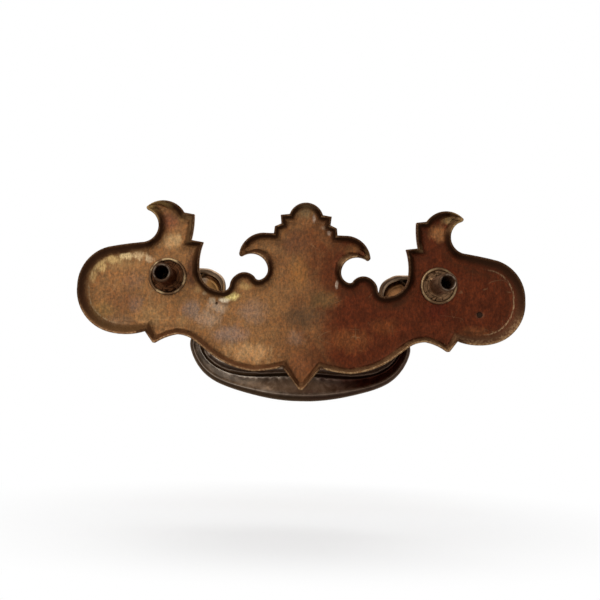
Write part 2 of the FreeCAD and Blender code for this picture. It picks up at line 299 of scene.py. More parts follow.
class Effects:
    """The shared effects: soft patches, brushed grain, mottled patina and scratches."""

    def __init__(self) -> None:
        """Builds each group once: brushing along Z, and patina in clouds, blots and specks."""
        self.patch = self.build_patch()
        self.scratches = self.build_scratches()
        self.grain = self.build_patterns(
            "brushed_grain",
            Pattern("Streaks", (1.0, 1.0, 0.45), 1.1, 4.0, 0.65, 0.4, 0.34, 0.66),
            Pattern("Fine", (1.0, 1.0, 0.2), 3.6, 2.0, 0.6, 0.2, 0.3, 0.7))
        self.mottle = self.build_patterns(
            "patina_mottle",
            Pattern("Clouds", (1.0, 1.0, 1.0), 0.11, 4.0, 0.6, 0.4, 0.36, 0.64),
            Pattern("Blots", (1.0, 1.0, 0.7), 0.42, 5.0, 0.65, 0.5, 0.38, 0.66),
            Pattern("Grit", (1.0, 1.0, 0.8), 1.5, 4.0, 0.7, 0.0, 0.34, 0.66),
            Pattern("Specks", (1.0, 1.0, 1.0), 2.6, 2.0, 0.5, 0.0, 0.66, 0.74))

    def build_patterns(self, name: str, *patterns: Pattern) -> EffectGroup:
        """Makes a group of noise patterns.

        Args:
            name: The group's name.
            patterns: Its outputs.

        Returns:
            The group.
        """
        group = EffectGroup(name, tuple(pattern.title for pattern in patterns))
        graph = group.graph
        for pattern in patterns:
            place = graph.scaled(group.inputs["Position"], *pattern.stretch)
            value = graph.noise(place, pattern.scale, pattern.detail, pattern.roughness,
                                pattern.distortion)
            graph.feed(group.result[pattern.title], graph.step(value, pattern.low, pattern.high))
        return group

    def build_patch(self) -> EffectGroup:
        """Makes a soft patch with a ragged edge round a centre, as wide as its radii.

        Returns:
            The group.
        """
        group = EffectGroup("soft_patch", ("Mask",), Centre=(0.0, 0.0, 0.0),
                            Radii=(5.0, 5.0, 5.0), Ragged=0.5)
        graph, place = group.graph, group.inputs["Position"]
        offset = graph.vector("SUBTRACT", place, group.inputs["Centre"])
        reach = graph.vector("LENGTH", graph.vector("DIVIDE", offset, group.inputs["Radii"]))
        rough = graph.noise(graph.scaled(place, 1.0, 1.0, 0.5), 0.55, 4.0, 0.65)
        reach = graph.stirred(reach, rough, graph.times(group.inputs["Ragged"], 2.4))
        graph.feed(group.result["Mask"], graph.step(reach, 1.0, 0.2))
        return group

    def build_scratches(self) -> EffectGroup:
        """Makes thin scratches, from the middle lines of slow noise, broken into pieces.

        Returns:
            The group.
        """
        group = EffectGroup("scratches", ("Mask",))
        graph, place = group.graph, group.inputs["Position"]
        steep, flat = (
            graph.step(graph.away(graph.noise(graph.scaled(place, *stretch), scale, 0.0), 0.5),
                       0.006, 0.001)
            for stretch, scale in (((1.0, 1.0, 0.12), 0.5), ((0.15, 1.0, 0.6), 0.33)))
        broken = graph.step(graph.noise(place, 0.21, 2.0), 0.54, 0.6)
        graph.feed(group.result["Mask"], graph.times(graph.math("MAXIMUM", steep, flat), broken))
        return group


class Corner(Enum):
    """The edges that wear, painted highlights and painted shade follow, with the attribute each
    fills.
    """

    OUTER = "edge_mm"
    INNER = "foot_mm"


@dataclass
class Skin:
    """A finely divided copy of a CAD node that carries relief, and distances that finishes read.

    The copy stays on the node's surface: relief only goes inwards, by less than a tenth of a
    millimetre, apart from the marks that a tool or a fault left. Sizes are in metres.
    """

    node: str
    body: str
    slot: str
    waver_depth: float = 0.05 * MM
    waver_size: float = 4.0 * MM
    waver_seed: float = 3.7
    far: float = 6.0 * MM
    outer_angle: float = math.radians(24.0)
    inner_angle: float = math.radians(-11.0)
    inner_below: float = math.inf
    shade_angle: float = math.radians(32.0)
    flat_angle: float = math.radians(0.4)
    merge_gap: float = 0.0005 * MM
    cut_gap: float = 0.001 * MM
    point_gap: float = 0.25 * MM
    at_foot: float = 0.02 * MM

    def __post_init__(self) -> None:
        """Copies the node, merges its loose triangles and finds its corners."""
        self.mesh = bmesh.new()
        self.mesh.from_mesh(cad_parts[self.node].data)
        bmesh.ops.remove_doubles(self.mesh, verts=self.mesh.verts, dist=self.merge_gap)
        bmesh.ops.dissolve_degenerate(self.mesh, edges=self.mesh.edges, dist=self.merge_gap)
        bmesh.ops.dissolve_limit(self.mesh, angle_limit=self.flat_angle,
                                 verts=self.mesh.verts, edges=self.mesh.edges)
        self.corners = {corner: self.find_corners(corner) for corner in Corner}

    def find_corners(self, corner: Corner) -> list[Vector]:
        """Finds closely spaced points along the outer edges, or along the deep inner ones.

        Args:
            corner: Which kind of edge.

        Returns:
            The points.
        """
        points = []
        for edge in self.mesh.edges:
            if len(edge.link_faces) != 2:
                continue
            angle = edge.calc_face_angle_signed(0.0)
            first, last = (vertex.co.copy() for vertex in edge.verts)
            if corner is Corner.OUTER:
                found = angle > self.outer_angle
            else:
                found = angle < self.inner_angle and max(first.y, last.y) < self.inner_below
            if found:
                count = max(1, math.ceil((last - first).length / self.point_gap))
                points += [first.lerp(last, step / count) for step in range(count + 1)]
        return points

    def divide(self, axis: int, low: float, high: float, cell: float,
               inside: Callable[[Vector], bool] | None = None) -> None:
        """Cuts faces by evenly spaced planes across one axis.

        Args:
            axis: 0, 1 or 2 for planes across X, Y or Z.
            low: Where the planes start.
            high: Where they end.
            cell: Their distance.
            inside: A test of a face's centre that limits the cuts, or None for every face.
        """
        normal = Vector([float(axis == index) for index in range(3)])
        count = max(1, round((high - low) / cell))
        for step in range(1, count):
            faces = [face for face in self.mesh.faces
                     if inside is None or inside(face.calc_center_median())]
            geometry = faces + list({edge for face in faces for edge in face.edges})
            geometry += list({vertex for face in faces for vertex in face.verts})
            bmesh.ops.bisect_plane(self.mesh, geom=geometry, dist=self.cut_gap, plane_no=normal,
                                   plane_co=normal * (low + (high - low) * step / count))

    def waver(self) -> None:
        """Lets the surface waver inwards, as a casting does."""
        self.mesh.normal_update()
        seed = Vector((self.waver_seed,) * 3)
        moves = []
        for vertex in self.mesh.verts:
            level = 0.5 + 0.5 * noise.noise(vertex.co / self.waver_size + seed)
            moves.append(vertex.normal * (-self.waver_depth * min(max(level, 0.0), 1.0)))
        for vertex, move in zip(self.mesh.verts, moves):
            vertex.co += move

    def mark_distances(self) -> None:
        """Writes each vertex's distance to the nearest outer and inner edge, in millimetres.

        A third value says how far above the vertex the nearest inner edge lies, 0 to 1.
        """
        above_layer = self.mesh.verts.layers.float.new("foot_above")
        for corner, points in self.corners.items():
            layer = self.mesh.verts.layers.float.new(corner.value)
            tree = KDTree(max(1, len(points)))
            for index, point in enumerate(points):
                tree.insert(point, index)
            tree.balance()
            for vertex in self.mesh.verts:
                near, _, distance = tree.find(vertex.co) if points else (None, 0, self.far)
                vertex[layer] = min(distance, self.far) / MM
                if corner is Corner.INNER and near is not None and distance > self.at_foot:
                    vertex[above_layer] = max(0.0, (near.z - vertex.co.z) / distance)

    def shape(self) -> None:
        """Gives the piece its own relief, where it has any beyond the waver."""

    def build(self, material: bpy.types.Material) -> bpy.types.Object:
        """Makes the piece, which replaces the node.

        Args:
            material: Its finish.

        Returns:
            The new object.
        """
        self.shape()
        self.waver()
        self.mark_distances()
        bmesh.ops.triangulate(self.mesh, faces=self.mesh.faces)
        for face in self.mesh.faces:
            face.smooth = True
        data = bpy.data.meshes.new(self.node + "_skin")
        self.mesh.to_mesh(data)
        self.mesh.free()
        data.set_sharp_from_angle(angle=self.shade_angle)
        data.materials.append(material)
        piece = add_object(self.node + "_skin", data)
        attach(piece, self.body)
        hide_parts(self.node)
        return piece


@dataclass(frozen=True)
class Pit:
    """A round fault in the hollow's floor, in millimetres, with its slope in radii."""

    x: float
    z: float
    radius: float
    depth: float
    mouth: float = 1.25
    slope: float = 0.55
    ragged: float = 0.16
    ragged_size: float = 0.5

    def fall(self, point: Vector) -> float:
        """Finds how far the floor has fallen at a point.

        Args:
            point: A point on the floor, in metres.

        Returns:
            A share of the pit's depth, 0 to 1.
        """
        away = math.hypot(point.x - self.x * MM, point.z - self.z * MM) / (self.radius * MM)
        wander = self.ragged * noise.noise(point / (self.ragged_size * MM))
        share = min(max((self.mouth + wander - away) / self.slope, 0.0), 1.0)
        return share * share * (3.0 - 2.0 * share)


@dataclass
class PlateSkin(Skin):
    """The backplate: a slightly wavy casting with two pits in its hollow."""

    cell: float = 1.1 * MM
    floor_y: float = -1.8 * MM
    floor_margin: float = 0.05 * MM
    inner_below: float = -1.3 * MM
    pits: tuple[Pit, ...] = (Pit(-50.1, -7.8, 0.8, 0.45), Pit(24.2, -7.0, 0.3, 0.35))
    pit_reach: float = 2.4 * MM
    pit_cell: float = 0.22 * MM

    def shape(self) -> None:
        """Divides the plate evenly and sinks its pits."""
        low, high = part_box(self.node)
        for axis in (0, 2):
            self.divide(axis, low[axis], high[axis], self.cell)
        for pit in self.pits:
            self.sink(pit)

    def on_floor(self, point: Vector) -> bool:
        """Says whether a point is at the height of the hollow's floor."""
        return abs(point.y - self.floor_y) < self.floor_margin

    def sink(self, pit: Pit) -> None:
        """Divides the floor finely round a pit and sinks it.

        Args:
            pit: The pit, whose radius scales the reach and the cell.
        """
        reach = self.pit_reach * pit.radius
        middles = {0: pit.x * MM, 2: pit.z * MM}

        def beside(point: Vector) -> bool:
            """Says whether a face's centre is on the floor and near the pit."""
            near = all(abs(point[axis] - at) < reach + self.cell for axis, at in middles.items())
            return near and self.on_floor(point)

        for axis, at in middles.items():
            self.divide(axis, at - reach, at + reach, self.pit_cell * pit.radius, beside)
        for vertex in self.mesh.verts:
            if self.on_floor(vertex.co):
                vertex.co.y -= pit.depth * MM * pit.fall(vertex.co)


@dataclass
class PostSkin(Skin):
    """A post: its tapped thread, and the ring that the staking tool left rough."""

    waver_depth: float = 0.03 * MM
    waver_size: float = 1.5 * MM
    waver_seed: float = 9.1
    side: int = 1
    bore_radius: float = 1.78 * MM
    bore_top: float = 9.25 * MM
    bore_depth: float = 13.2 * MM
    wall_margin: float = 0.02 * MM
    thread_pitch: float = 0.794 * MM
    thread_depth: float = 0.28 * MM
    thread_start: float = 0.05 * MM
    thread_stop: float = 0.45 * MM
    thread_fade: float = 0.5 * MM
    thread_cuts: int = 6
    thread_crest: float = 1.25
    tube_radius: float = 2.65 * MM
    ring_radius: float = 5.2 * MM
    ring_low: float = -1.8 * MM
    ring_high: float = -0.8 * MM
    ring_margin: float = 0.05 * MM
    ring_cell: float = 0.3 * MM
    mark_depth: float = 0.07 * MM
    mark_sizes: Span = (0.7 * MM, 0.3 * MM)

    def __post_init__(self) -> None:
        """Finds the post's axis as well, and gives each side its own waver."""
        super().__post_init__()
        low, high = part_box(self.node)
        self.axis_x = 0.5 * (low[0] + high[0])
        self.waver_seed += self.side

    def radius_of(self, point: Vector) -> float:
        """Returns a point's distance from the post's axis."""
        return math.hypot(point.x - self.axis_x, point.z)

    def shape(self) -> None:
        """Cuts the thread and roughens the staked ring."""
        self.cut_thread()
        self.roughen_ring()

    def cut_thread(self) -> None:
        """Divides the bore finely along its axis and sinks a V thread into it."""
        def in_bore(point: Vector) -> bool:
            """Says whether a face's centre is on the bore's wall."""
            return self.radius_of(point) < self.bore_radius * 1.005 and point.y < self.bore_top

        low = self.bore_top - self.bore_depth
        self.divide(1, low, self.bore_top, self.thread_pitch / self.thread_cuts, in_bore)
        start, end = low + self.thread_start, self.bore_top - self.thread_stop
        for vertex in self.mesh.verts:
            x, y, z = vertex.co.x - self.axis_x, vertex.co.y, vertex.co.z
            radius = self.radius_of(vertex.co)
            if abs(radius - self.bore_radius) > self.wall_margin or not start < y < end:
                continue
            phase = (y / self.thread_pitch + math.atan2(z, x) / math.tau) % 1.0
            fade = min(1.0, (end - y) / self.thread_fade, (y - start) / self.thread_fade)
            flank = min(1.0, self.thread_crest * (1.0 - abs(2.0 * phase - 1.0)))
            share = (radius + self.thread_depth * fade * flank) / radius
            vertex.co.x = self.axis_x + x * share
            vertex.co.z = z * share

    def roughen_ring(self) -> None:
        """Divides the staked ring and its lip finely, and presses uneven marks into them."""
        reach = self.ring_radius + self.ring_margin

        def in_ring(point: Vector) -> bool:
            """Says whether a face's centre is on the ring or the lip."""
            return (self.bore_radius * 1.3 < self.radius_of(point) < reach * 1.01
                    and self.ring_low < point.y < self.ring_high + self.ring_margin)

        for axis, middle in ((0, self.axis_x), (2, 0.0)):
            self.divide(axis, middle - reach, middle + reach, self.ring_cell, in_ring)
        for vertex in self.mesh.verts:
            if not (self.tube_radius < self.radius_of(vertex.co) < self.ring_radius
                    and self.ring_low < vertex.co.y < self.ring_high):
                continue
            coarse, fine = (noise.noise(vertex.co / size) for size in self.mark_sizes)
            turn = math.atan2(vertex.co.z, vertex.co.x - self.axis_x)
            dents = 0.3 * max(0.0, math.sin(3.0 * turn + 2.0 * self.side))
            press = 0.4 + 0.5 * (coarse + 0.6 * fine) + dents
            vertex.co.y -= self.mark_depth * min(1.0, max(0.0, press))


@dataclass
class BailSkin(Skin):
    """The bail: a soft-edged casting."""

    waver_depth: float = 0.06 * MM
    waver_size: float = 3.0 * MM
    waver_seed: float = 5.3


class Material:
    """A material with a Principled BSDF, its graph and the patterns that finishes read."""

    metallic = 0.85
    specular = 0.25
    tint: Colour = (0.85, 0.70, 0.58)

    def __init__(self, name: str, effects: Effects) -> None:
        """Makes the material, its millimetre coordinates and its mottle.

        Args:
            name: The material's name.
            effects: The shared effect groups.
        """
        self.effects = effects
        self.material = empty_material(name)
        self.graph = Graph(self.material.node_tree)
        self.shader = self.graph.add("ShaderNodeBsdfPrincipled")
        self.graph.add("ShaderNodeOutputMaterial", self.shader.outputs[0])
        coordinates = self.graph.add("ShaderNodeTexCoord").outputs
        self.place = self.graph.scaled(coordinates["Object"], 1.0 / MM, 1.0 / MM, 1.0 / MM)
        self.x, self.y, self.z = self.graph.parts(self.place)
        self.facing = coordinates["Normal"]
        self.facing_x, self.facing_y, self.facing_z = self.graph.parts(self.facing)
        self.edge = self.read(Corner.OUTER.value)
        self.foot = self.read(Corner.INNER.value)
        self.foot_above = self.read("foot_above")
        self.mottle = effects.mottle.place(self.graph, Position=self.place)

    @cached_property
    def grain(self) -> bpy.types.NodeOutputs:
        """Returns the brushed grain, which is placed when it is first asked for."""
        return self.effects.grain.place(self.graph, Position=self.place)

    def read(self, attribute: str) -> Socket:
        """Returns the value of one of the piece's attributes."""
        return self.graph.add("ShaderNodeAttribute", attribute_type="GEOMETRY",
                              attribute_name=attribute).outputs["Fac"]

    def finish(self, colour: Socket, roughness: Socket, height: Socket,
               relief: float) -> bpy.types.Material:
        """Feeds the shader.

        Args:
            colour: The base colour.
            roughness: The roughness.
            height: The bump's height, 0 to 1.
            relief: How high the bump stands, in millimetres.

        Returns:
            The material.
        """
        bump = self.graph.add("ShaderNodeBump")
        self.graph.feed(bump.inputs["Height"], height)
        bump.inputs["Strength"].default_value = 1.0
        bump.inputs["Distance"].default_value = relief * MM
        for name, value in (("Base Color", colour), ("Roughness", roughness),
                            ("Normal", bump.outputs["Normal"]), ("Metallic", self.metallic),
                            ("Specular IOR Level", self.specular), ("Specular Tint", self.tint)):
            self.graph.feed(self.shader.inputs[name], value)
        return self.material


@dataclass(frozen=True)
class Patch:
    """A soft patch of colour on the plate, patina or painted light, with place and radii in
    millimetres.
    """

    x: float
    z: float
    across: float
    high: float
    colour: Colour
    strength: float = 0.8
    ragged: float = 0.5


class Layers:
    """A colour that grows by layers of paint, each laid on through masks."""

    def __init__(self, graph: Graph, colour: object) -> None:
        """Starts from one colour."""
        self.graph = graph
        self.colour = colour

    def lay(self, colour: object, *masks: object, strength: float = 1.0) -> None:
        """Lays a colour on where every mask is 1, at the strength given."""
        self.colour = self.graph.mix(self.graph.times(*masks, strength), self.colour, colour)

    def shade(self, value: object, low: float, high: float) -> None:
        """Multiplies the colour by low where value is 0, up to high where it is 1."""
        factor = self.graph.grey(self.graph.ramp(value, high - low, low))
        self.colour = self.graph.mix(1.0, self.colour, factor, "MULTIPLY")


@dataclass(frozen=True)
class PlateFinish:
    """The plate's patina: gold-brown on one wing, oxblood on the other, partly a painted
    reflection;
    painted shade in the corners and on walls that face down, and painted highlights.

    The spans run along X from one wing to the other, or along Y out of the hollow.
    """

    floor_y: float = -1.8
    foot_y: float = -1.5
    tone_span: Span = (-15.0, 12.0)
    lit_span: Span = (-6.0, 8.0)
    wing_span: Span = (38.0, 46.0)
    wall_span: Span = (-1.60, -0.85)
    rim_span: Span = (-0.35, -0.08)
    gold: Colour = (0.212, 0.106, 0.043)
    oxblood: Colour = (0.078, 0.018, 0.007)
    mauve: Colour = (0.215, 0.142, 0.105)
    warmth: Colour = (1.15, 0.95, 0.70)
    bright: Colour = (0.72, 0.50, 0.20)
    deep_wall: Colour = (0.014, 0.005, 0.002)
    dark_wall: Colour = (0.034, 0.013, 0.005)
    side_wall: Colour = (0.056, 0.022, 0.009)
    low_wall: Colour = (0.230, 0.110, 0.048)
    low_wall_red: Colour = (0.240, 0.125, 0.054)
    wing_wall: Colour = (0.098, 0.050, 0.018)
    wing_wall_red: Colour = (0.110, 0.050, 0.023)
    tip_rim: Colour = (0.190, 0.115, 0.045)
    line: Colour = (0.250, 0.170, 0.090)
    worn: Colour = (0.300, 0.190, 0.095)
    face: Colour = (0.240, 0.140, 0.060)
    pit: Colour = (0.016, 0.009, 0.006)
    patch_depth: float = 40.0

    # The hollow's floor, from one wing to the other.
    patches: tuple[Patch, ...] = (
        Patch(50.4, -7.3, 8.0, 6.0, (0.154, 0.071, 0.031)),
        Patch(47.0, -1.5, 4.0, 3.5, (0.170, 0.092, 0.054), 0.6, 0.9),
        Patch(56.0, -10.3, 5.0, 4.0, (0.212, 0.125, 0.046), 0.7, 0.8),
        Patch(51.1, -13.0, 7.0, 2.6, (0.180, 0.103, 0.055), 0.7),
        Patch(42.8, -11.0, 6.0, 4.5, (0.282, 0.159, 0.067), 0.8, 0.8),
        Patch(46.5, -8.0, 2.6, 3.5, (0.159, 0.099, 0.072), 0.6, 0.9),
        Patch(31.0, -9.0, 4.0, 4.0, (0.198, 0.133, 0.098)),
        Patch(33.5, -12.5, 3.0, 2.5, (0.282, 0.165, 0.073), 0.6, 0.9),
        Patch(26.4, -11.5, 5.0, 3.5, (0.294, 0.201, 0.133)),
        Patch(24.0, -8.0, 4.0, 2.4, (0.360, 0.267, 0.189), 0.7),
        Patch(20.0, -15.5, 7.0, 4.0, (0.228, 0.152, 0.112)),
        Patch(37.5, 9.5, 4.0, 2.6, (0.384, 0.241, 0.112), 0.8, 0.8),
        # Painted shade on the floor beside the wall, just inward of the post.
        Patch(31.8, 1.6, 2.2, 7.5, (0.088, 0.037, 0.018), 0.9, 0.6),
        Patch(38.5, 15.5, 4.0, 4.0, (0.180, 0.070, 0.036), 0.9),
        Patch(44.0, 19.0, 3.0, 2.4, (0.180, 0.121, 0.045)),
        Patch(34.5, 17.0, 1.6, 3.0, (0.252, 0.152, 0.063), 0.6, 0.8),
        Patch(14.8, -20.5, 9.0, 4.2, (0.384, 0.222, 0.101), 0.9, 0.8),
        Patch(14.0, -9.0, 6.0, 4.5, (0.234, 0.142, 0.090)),
        Patch(1.9, 2.0, 4.0, 5.5, (0.232, 0.106, 0.034)),
        Patch(7.5, 5.5, 4.0, 4.0, (0.162, 0.071, 0.029), 0.7),
        Patch(10.0, 3.2, 1.8, 4.0, (0.092, 0.035, 0.016), 0.7),
        Patch(0.0, -10.0, 8.0, 5.0, (0.099, 0.054, 0.027), 0.9),
        Patch(-5.5, -5.0, 6.0, 3.6, (0.119, 0.067, 0.027)),
        Patch(3.2, 11.0, 6.5, 5.0, (0.124, 0.052, 0.025), 0.9),
        Patch(0.5, 19.5, 4.0, 2.2, (0.211, 0.142, 0.070)),
        Patch(2.0, -16.0, 3.5, 3.0, (0.205, 0.124, 0.080), 0.6),
        Patch(0.6, -24.0, 4.0, 5.0, (0.167, 0.065, 0.027), 0.9),
        Patch(-13.0, -16.0, 9.0, 5.0, (0.146, 0.048, 0.016)),
        Patch(-22.9, -12.0, 6.0, 3.4, (0.124, 0.037, 0.012), 0.7),
        Patch(-13.5, 9.5, 4.0, 2.2, (0.162, 0.073, 0.027), 0.7),
        Patch(-17.0, 6.5, 1.8, 1.8, (0.184, 0.112, 0.047), 0.7),
        Patch(-26.6, -4.6, 5.0, 4.0, (0.055, 0.016, 0.007)),
        Patch(-34.0, 8.0, 5.0, 3.0, (0.070, 0.016, 0.007), 0.7),
        Patch(-37.8, 15.0, 3.6, 3.4, (0.257, 0.111, 0.042), 0.9),
        Patch(-41.0, 18.8, 3.6, 1.8, (0.250, 0.163, 0.072)),
        Patch(-37.7, -7.5, 5.0, 4.0, (0.068, 0.012, 0.006)),
        Patch(-49.0, -13.0, 7.0, 2.6, (0.150, 0.052, 0.019), 0.7),
        Patch(-46.0, -1.0, 4.0, 3.0, (0.095, 0.022, 0.008), 0.6),
        Patch(-50.1, -7.8, 1.5, 1.4, (0.120, 0.078, 0.048), 0.5),
    )

    # Painted highlights: bright reflections painted on the floor's border.
    gleams: tuple[Patch, ...] = (
        Patch(58.6, -0.4, 1.8, 2.8, bright, 0.40, 0.8),
        Patch(56.6, 2.2, 2.6, 2.2, bright, 0.75, 0.8),
        Patch(53.4, 4.4, 3.4, 1.8, bright, 0.95, 0.8),
        Patch(52.0, 3.4, 8.0, 3.0, (0.34, 0.20, 0.08), 0.55, 0.8),
        Patch(50.0, 5.5, 3.2, 1.6, (0.90, 0.68, 0.34), 1.0, 0.8),
        Patch(46.6, 5.6, 3.4, 1.5, (0.66, 0.46, 0.24), 0.9, 0.8),
        Patch(43.8, 4.6, 2.2, 1.3, (0.60, 0.46, 0.28), 0.6, 1.0),
        Patch(20.6, -5.0, 3.4, 1.5, (1.00, 0.82, 0.30), 1.0, 0.6),
        Patch(22.2, -6.0, 2.4, 1.0, (0.72, 0.62, 0.44), 0.95, 0.6),
        Patch(25.4, -6.2, 1.8, 1.2, (0.42, 0.34, 0.23), 0.7, 0.9),
        Patch(27.6, -4.4, 1.2, 0.9, (0.44, 0.34, 0.20), 0.6, 1.0),
        Patch(29.4, -3.4, 1.6, 1.4, (0.34, 0.20, 0.08), 0.7, 0.9),
        Patch(16.4, -2.0, 3.0, 1.6, (0.42, 0.27, 0.10), 0.8, 0.9),
        Patch(37.0, 11.2, 2.6, 1.6, (0.44, 0.30, 0.14), 0.6, 1.0),
        Patch(-9.2, -0.6, 0.6, 1.8, (0.60, 0.48, 0.36), 0.8, 0.8),
        Patch(-2.2, 18.0, 0.6, 1.5, (0.34, 0.26, 0.20), 0.8, 1.0),
        Patch(-5.4, 15.4, 1.3, 0.8, (0.25, 0.18, 0.12), 0.7, 0.9),
        Patch(-6.8, 14.0, 0.8, 0.9, (0.34, 0.27, 0.21), 0.8, 0.9),
    )

    # The walls at the tips of the horns, the hooks and the crown, which catch light.
    lit_tips: tuple[Patch, ...] = (
        Patch(42.5, 20.0, 6.0, 2.6, (0.340, 0.215, 0.080), 0.85, 0.3),
        Patch(33.0, 15.0, 2.6, 5.0, (0.250, 0.145, 0.062), 0.75, 0.4),
        Patch(17.4, 8.0, 2.2, 2.4, (0.260, 0.120, 0.045), 0.80, 0.3),
        Patch(-17.4, 8.0, 2.2, 2.4, (0.230, 0.135, 0.060), 0.80, 0.3),
        Patch(-43.0, 19.5, 3.2, 2.0, (0.230, 0.140, 0.065), 0.80, 0.3),
        Patch(33.0, 10.8, 3.4, 1.8, (0.200, 0.110, 0.045), 0.70, 0.4),
        Patch(-33.0, 10.4, 2.6, 2.0, (0.160, 0.090, 0.040), 0.60, 0.4),
        Patch(0.0, 21.5, 4.5, 2.2, (0.150, 0.095, 0.045), 0.60, 0.4),
    )

    def build(self, effects: Effects) -> bpy.types.Material:
        """Builds the plate's material.

        Args:
            effects: The shared effect groups.

        Returns:
            The material.
        """
        material = Material("plate_patina", effects)
        graph, grain, mottle = material.graph, material.grain, material.mottle
        behind = graph.step(material.facing_y, 0.05, 0.3)
        paint = self.paint_floor(material)
        self.paint_walls(material, paint, behind)
        self.paint_gleams(material, paint)
        self.paint_rim(material, paint)
        self.paint_marks(material, paint, behind)
        self.paint_face(material, paint)
        roughness = graph.ramp(mottle["Blots"], 0.12, 0.44)
        height = graph.ramp(grain["Streaks"], 0.3, graph.times(grain["Fine"], 0.2))
        height = graph.ramp(mottle["Blots"], 0.8, height)
        height = graph.ramp(mottle["Grit"], 0.4, height)
        return material.finish(paint.colour, roughness, height, 0.03)

    def lay_patches(self, material: Material, paint: Layers, patches: tuple[Patch, ...],
                    *masks: Socket) -> None:
        """Lays patches on, each within its own ragged edge.

        Args:
            material: The plate's material.
            paint: The layers of its colour.
            patches: The patches.
            masks: Where they may show.
        """
        for patch in patches:
            spot = material.effects.patch.place(
                material.graph, Position=material.place, Centre=(patch.x, self.floor_y, patch.z),
                Radii=(patch.across, self.patch_depth, patch.high), Ragged=patch.ragged)
            paint.lay(patch.colour, spot["Mask"], *masks, strength=patch.strength)

    def lit_wall(self, material: Material) -> Socket:
        """Returns the colour of the walls that catch light from below, redder on one wing."""
        towards_gold = material.graph.step(material.x, *self.lit_span)
        return material.graph.mix(towards_gold, self.low_wall_red, self.low_wall)

    def paint_floor(self, material: Material) -> Layers:
        """Paints the floor: two tones, patches, blotches and brushing.

        Args:
            material: The plate's material.

        Returns:
            The layers of its colour.
        """
        graph, x, grain, mottle = material.graph, material.x, material.grain, material.mottle
        # Two tones along X, partly the patina's own and partly a painted reflection that brightens
        # the gold wing.
        golden = graph.step(graph.stirred(x, mottle["Clouds"], 7.0), *self.tone_span)
        paint = Layers(graph, graph.mix(golden, self.oxblood, self.gold))
        self.lay_patches(material, paint, self.patches)
        cool = graph.mix(0.8, paint.colour, self.mauve, "OVERLAY")
        paint.lay(cool, mottle["Blots"], graph.step(x, -20.0, 10.0), strength=0.45)
        warm = graph.mix(1.0, paint.colour, self.warmth, "MULTIPLY")
        paint.lay(warm, graph.step(mottle["Grit"], 0.4, 0.9), strength=0.6)
        paint.shade(mottle["Blots"], 0.76, 1.16)
        paint.shade(mottle["Grit"], 0.77, 1.19)
        speckle = graph.step(graph.noise(material.place, 3.0, 3.0, 0.6), 0.32, 0.68)
        paint.shade(graph.stirred(0.5, speckle, graph.step(x, -12.0, 12.0)), 0.88, 1.12)
        paint.shade(mottle["Specks"], 1.0, 0.55)
        paint.shade(grain["Streaks"], 0.90, 1.08)
        paint.shade(grain["Fine"], 0.88, 1.10)
        return paint

    def paint_walls(self, material: Material, paint: Layers, behind: Socket) -> None:
        """Darkens the hollow's walls, partly as patina and partly as painted shade by which way
        they face, with painted shade in the corner at their foot and a thin painted highlight
        there.

        Args:
            material: The plate's material.
            paint: The layers of its colour.
            behind: A mask of what faces the drawer.
        """
        graph, x, y, mottle = material.graph, material.x, material.y, material.mottle
        upward = graph.ramp(material.facing_x, 0.15, material.facing_z)
        uneven = graph.stirred(y, mottle["Grit"], 0.30)
        uneven = graph.stirred(uneven, mottle["Blots"], 0.30)
        # Painted shade on the floor near the foot of a wall, stronger where the wall stands above.
        shade_under_wall = graph.ramp(material.foot_above, 0.55, 0.20)
        paint.lay(self.dark_wall, graph.step(material.foot, 2.4, 0.0), behind, shade_under_wall,
                  strength=0.75)

        # Walls lighter where they face up and darker where they face down: painted light and shade
        # over the walls' darker patina.
        wing_wall = graph.mix(graph.step(x, -10.0, 10.0), self.wing_wall_red, self.wing_wall)
        on_wing = graph.step(graph.away(x), *self.wing_span)
        lit = graph.mix(on_wing, self.lit_wall(material), wing_wall)
        wall = graph.mix(graph.step(upward, -0.30, 0.10), self.dark_wall, self.side_wall)
        wall = graph.mix(graph.step(upward, 0.10, 0.55), wall, lit)
        wall = graph.mix(0.35, wall, graph.mix(1.0, paint.colour, wall, "OVERLAY"))
        covered = graph.times(graph.step(uneven, *self.wall_span), behind)
        paint.lay(wall, covered, strength=0.92)
        # Painted shade, darker still, on the upper part of the walls that face down.
        paint.lay(self.deep_wall, graph.step(upward, 0.45, -0.05), covered,
                  graph.step(y, -1.1, -0.35), strength=0.65)
        self.lay_patches(material, paint, self.lit_tips, covered)
        # Painted shade along a crease in the walls that face up.
        crease = graph.step(graph.away(y, -0.75), 0.35, 0.05)
        paint.lay(self.dark_wall, crease, graph.step(upward, 0.2, 0.6), material.grain["Streaks"],
                  strength=0.35)

        # A thin painted highlight along the foot of the walls near the wing tips.
        along_foot = graph.step(graph.away(y, self.foot_y), 0.13, 0.03)
        at_ends = graph.times(graph.step(graph.away(x), 49.5, 54.0),
                              graph.step(upward, -0.55, -0.15))
        broken = graph.step(material.grain["Fine"], 0.1, 0.8)
        paint.lay(self.line, along_foot, at_ends, broken, behind, strength=0.6)

    def paint_gleams(self, material: Material, paint: Layers) -> None:
        """Lays the painted highlights on, in broken streaks.

        Args:
            material: The plate's material.
            paint: The layers of its colour.
        """
        graph = material.graph
        fine = graph.noise(graph.scaled(material.place, 1.0, 1.0, 0.6), 3.2, 4.0, 0.7)
        streaked = graph.ramp(graph.step(fine, 0.30, 0.68), 0.62, 0.32)
        brushed = graph.ramp(material.grain["Fine"], 0.5, 0.5)
        low = graph.times(streaked, brushed, graph.step(material.y, -1.1, -1.4))
        self.lay_patches(material, paint, self.gleams, low)

